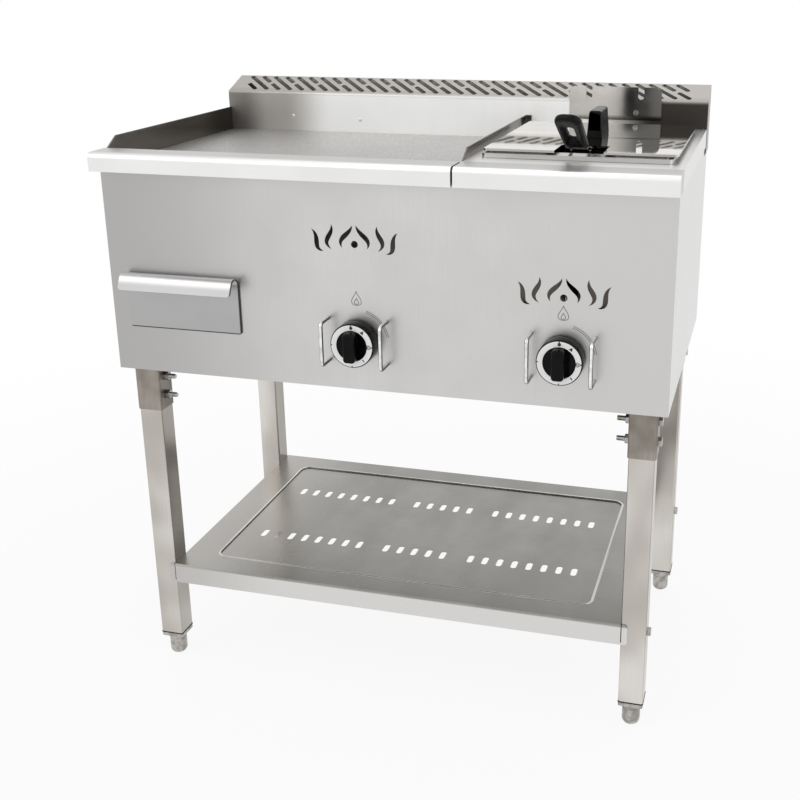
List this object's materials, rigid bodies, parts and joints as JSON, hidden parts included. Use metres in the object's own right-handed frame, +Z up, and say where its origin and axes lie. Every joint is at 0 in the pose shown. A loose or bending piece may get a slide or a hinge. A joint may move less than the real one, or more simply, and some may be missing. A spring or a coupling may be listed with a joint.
{
  "type": "griddle and fryer station",
  "caption": "Free-standing gas station with a flat griddle, a lidded fryer with lift-out tank and basket, a grease drawer, guarded knobs, a slotted backsplash and a bolted shelf stand.",
  "frame": {"origin": "on the floor under the middle of the bounding box", "axes": "+Z up, -Y to the front where the knobs are, +X to the right of somebody who stands in front"},
  "size_m": [0.854, 0.553, 0.9337],
  "materials": {
    "leg_steel": "satin stainless tube",
    "socket_steel": "matt welded steel sleeve",
    "foot_steel": "satin turned steel",
    "gasket_rubber": "matt black",
    "zinc_steel": "zinc plated",
    "shelf_steel": "pressed and brushed sheet",
    "panel_steel": "fine brushed stainless sheet",
    "plain_steel": "plain mill sheet",
    "griddle_steel": "ground cooking plate",
    "splash_steel": "polished stainless sheet",
    "knob_plastic": "moulded, glossy black",
    "dial_print": "white printed ring",
    "spindle_brass": "machined",
    "guard_steel": "polished rod",
    "gas_pipe_steel": "drawn pipe",
    "feed_pipe_aluminium": "soft drawn pipe",
    "burner_steel": "heat-tinted steel tube",
    "tank_steel": "deep-drawn stainless",
    "basket_wire": "bright plated wire",
    "grip_plastic": "moulded heat-resisting black",
    "lid_steel": "mirror-polished sheet"
  },
  "bodies": {
    "cabinet": {"leg_front_left": "leg_steel", "leg_front_right": "leg_steel", "leg_rear_left": "leg_steel", "leg_rear_right": "leg_steel", "socket_front_left": "socket_steel", "socket_front_right": "socket_steel", "socket_rear_left": "socket_steel", "socket_rear_right": "socket_steel", "foot_caps": "foot_steel", "leg_gaskets": "gasket_rubber", "leg_bolts": "zinc_steel", "shelf_bolts": "zinc_steel", "stand_nuts": "zinc_steel", "shelf": "shelf_steel", "front_panel": "panel_steel", "left_side_panel": "panel_steel", "right_side_panel": "panel_steel", "rear_panel": "panel_steel", "rear_panel_screws": "zinc_steel", "partition": "plain_steel", "griddle_plate": "griddle_steel", "plate_support_rails": "plain_steel", "left_splash_plate": "splash_steel", "centre_splash_plate": "splash_steel", "griddle_front_rail": "panel_steel", "grease_chute": "plain_steel", "fryer_deck": "panel_steel", "backsplash": "panel_steel", "basket_hanger": "plain_steel", "hanger_screws": "zinc_steel", "drawer_runners": "plain_steel", "griddle_gas_valve": "spindle_brass", "fryer_gas_valve": "spindle_brass", "knob_guards": "guard_steel", "gas_manifold": "gas_pipe_steel", "gas_inlet": "spindle_brass", "burner_feed_pipes": "feed_pipe_aluminium", "griddle_burner": "burner_steel", "fryer_burner": "burner_steel", "burner_support_bars": "plain_steel"},
    "grease_drawer": {"drawer_front": "panel_steel", "drawer_tray": "plain_steel"},
    "griddle_spindle": {"griddle_valve_spindle": "spindle_brass"},
    "griddle_control": {"griddle_knob": "knob_plastic", "griddle_dial_ring": "dial_print"},
    "fryer_spindle": {"fryer_valve_spindle": "spindle_brass"},
    "fryer_control": {"fryer_knob": "knob_plastic", "fryer_dial_ring": "dial_print"},
    "tank": {"oil_tank": "tank_steel"},
    "frying_basket": {"basket_frame": "basket_wire", "basket_liner": "basket_wire", "basket_handle": "basket_wire", "basket_grip": "grip_plastic"},
    "fryer_lid": {"lid": "lid_steel", "lid_handle": "grip_plastic", "lid_handle_screws": "zinc_steel"},
    "adjuster_front_left": {"foot_front_left": "foot_steel"},
    "adjuster_front_right": {"foot_front_right": "foot_steel"},
    "adjuster_rear_left": {"foot_rear_left": "foot_steel"},
    "adjuster_rear_right": {"foot_rear_right": "foot_steel"}
  },
  "joints": [
    {"name": "grease_drawer_slide", "type": "slide", "parent": "cabinet", "child": "grease_drawer", "axis": [0, -1, 0], "range_m": [0, 0.25]},
    {"name": "griddle_knob_push", "type": "slide", "parent": "cabinet", "child": "griddle_spindle", "axis": [0, 1, 0], "range_m": [0, 0.004], "stiffness_N_per_m": 2000, "springref_m": -0.004},
    {"name": "griddle_knob_turn", "type": "hinge", "parent": "griddle_spindle", "child": "griddle_control", "pos_m": [-0.028, -0.2355, 0.601], "axis": [0, -1, 0], "range_deg": [0, 180]},
    {"name": "fryer_knob_push", "type": "slide", "parent": "cabinet", "child": "fryer_spindle", "axis": [0, 1, 0], "range_m": [0, 0.004], "stiffness_N_per_m": 2000, "springref_m": -0.004},
    {"name": "fryer_knob_turn", "type": "hinge", "parent": "fryer_spindle", "child": "fryer_control", "pos_m": [0.275, -0.2355, 0.601], "axis": [0, -1, 0], "range_deg": [0, 180]},
    {"name": "oil_tank_lift", "type": "slide", "parent": "cabinet", "child": "tank", "axis": [0, 0, 1], "range_m": [0, 0.16]},
    {"name": "basket_lift", "type": "slide", "parent": "tank", "child": "frying_basket", "axis": [0, 0, 1], "range_m": [0, 0.16]},
    {"name": "lid_lift", "type": "slide", "parent": "frying_basket", "child": "fryer_lid", "axis": [0, 0, 1], "range_m": [0, 0.1]},
    {"name": "foot_front_left_adjust", "type": "slide", "parent": "cabinet", "child": "adjuster_front_left", "axis": [0, 0, -1], "range_m": [0, 0.02]},
    {"name": "foot_front_right_adjust", "type": "slide", "parent": "cabinet", "child": "adjuster_front_right", "axis": [0, 0, -1], "range_m": [0, 0.02]},
    {"name": "foot_rear_left_adjust", "type": "slide", "parent": "cabinet", "child": "adjuster_rear_left", "axis": [0, 0, -1], "range_m": [0, 0.02]},
    {"name": "foot_rear_right_adjust", "type": "slide", "parent": "cabinet", "child": "adjuster_rear_right", "axis": [0, 0, -1], "range_m": [0, 0.02]}
  ]
}
